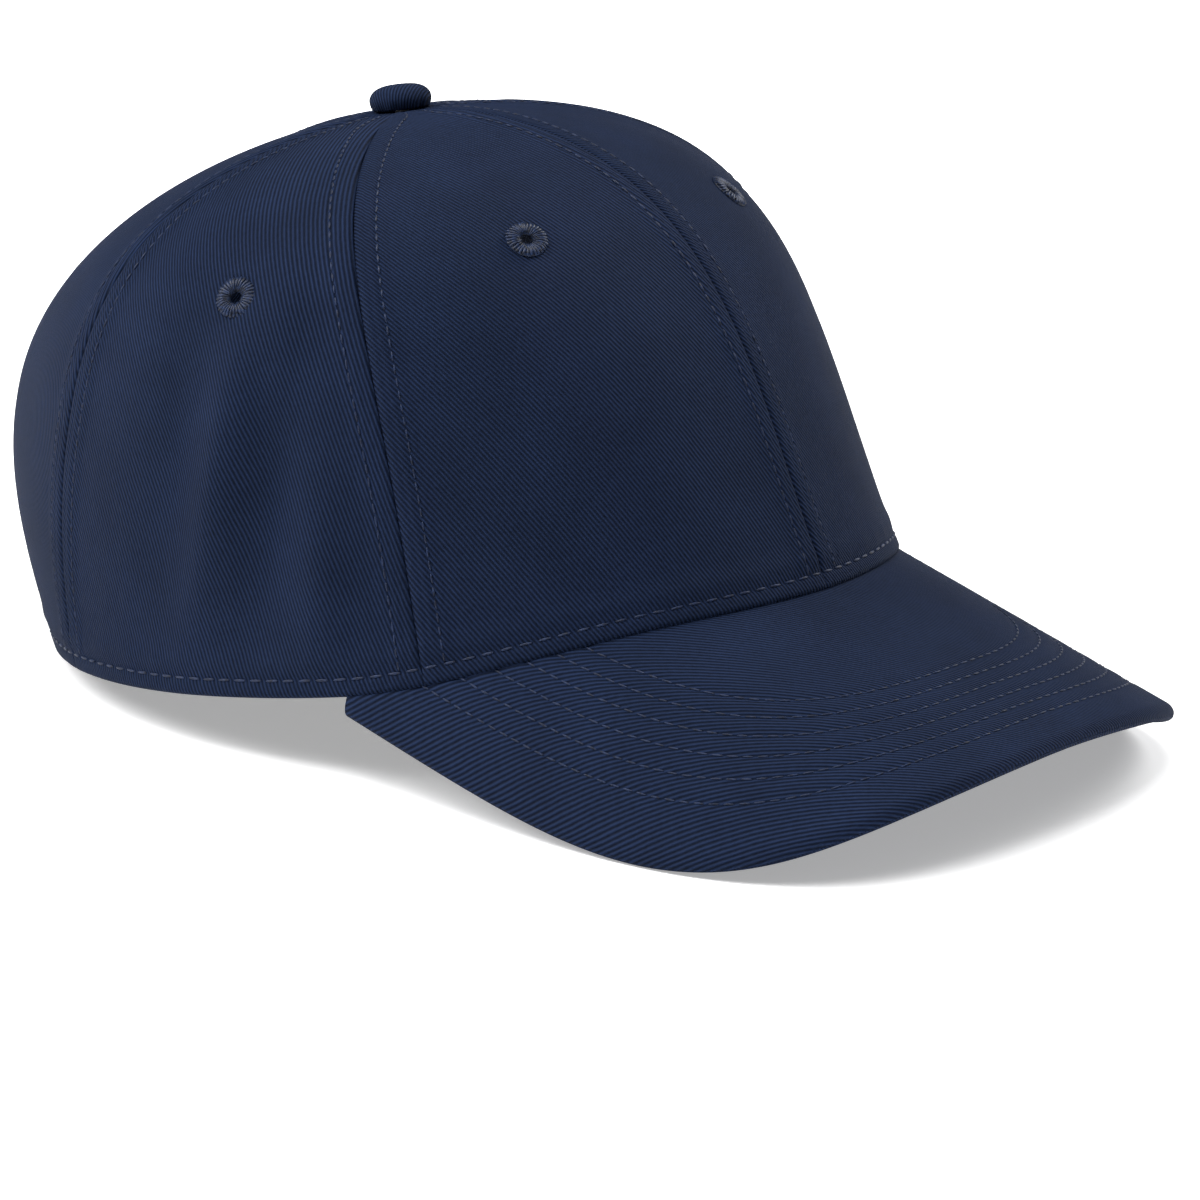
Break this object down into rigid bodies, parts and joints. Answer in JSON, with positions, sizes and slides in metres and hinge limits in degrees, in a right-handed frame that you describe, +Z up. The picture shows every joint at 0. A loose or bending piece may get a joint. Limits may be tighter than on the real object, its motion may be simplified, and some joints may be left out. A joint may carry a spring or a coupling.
{
  "type": "baseball cap",
  "caption": "Six-panel baseball cap with a curved stiff peak, covered top button and an adjustable back strap held by a hinged brass clasp.",
  "frame": {"origin": "on the table under the middle of the cap, which rests on the sides of its peak and the back of its hem", "axes": "+Z up, the peak points along -Y, the wearer's left is +X"},
  "size_m": [0.176, 0.2713, 0.1264],
  "materials": {
    "crown_twill": "matt cotton twill",
    "peak_twill": "matt cotton twill",
    "strap_twill": "matt cotton twill, doubled",
    "button_twill": "matt cotton twill stretched over a dome",
    "embroidery_thread": "satin stitched thread",
    "seam_tape": "matt woven tape",
    "sweatband_cotton": "matt brushed cotton",
    "buckram": "stiff open weave",
    "peak_board_plastic": "matt moulded",
    "button_steel": "pressed",
    "antique_brass": "antiqued, darkened in the hollows"
  },
  "bodies": {
    "cap": {"crown_panel_front_left": "crown_twill", "crown_panel_front_right": "crown_twill", "crown_panel_side_left": "crown_twill", "crown_panel_side_right": "crown_twill", "crown_panel_back_left": "crown_twill", "crown_panel_back_right": "crown_twill", "front_stiffener_left": "buckram", "front_stiffener_right": "buckram", "seam_tape_centre_front": "seam_tape", "seam_tape_front_left": "seam_tape", "seam_tape_front_right": "seam_tape", "seam_tape_back_left": "seam_tape", "seam_tape_back_right": "seam_tape", "seam_tape_centre_back": "seam_tape", "sweatband": "sweatband_cotton", "peak_upper_cover": "peak_twill", "peak_board": "peak_board_plastic", "peak_lower_cover": "peak_twill", "button_cover": "button_twill", "button_shell": "button_steel", "button_rivet": "button_steel", "eyelet_front_left": "embroidery_thread", "eyelet_front_right": "embroidery_thread", "eyelet_side_left": "embroidery_thread", "eyelet_side_right": "embroidery_thread", "eyelet_back_left": "embroidery_thread", "eyelet_back_right": "embroidery_thread", "back_opening_binding": "seam_tape", "strap_loop": "strap_twill", "clasp_frame": "antique_brass", "clasp_pin": "antique_brass"},
    "strap_body": {"strap": "strap_twill"},
    "lever_body": {"clasp_lever": "antique_brass"}
  },
  "joints": [
    {"name": "strap_slide", "type": "hinge", "parent": "cap", "child": "strap_body", "pos_m": [0, 0.06717, 0.02411], "axis": [0, 0.1971, 0.9804], "range_deg": [0, 15]},
    {"name": "clasp_lever_hinge", "type": "hinge", "parent": "cap", "child": "lever_body", "pos_m": [-0.034, 0.11775, 0.01354], "axis": [-0.1143, 0.3631, 0.9247], "range_deg": [0, 95]}
  ]
}
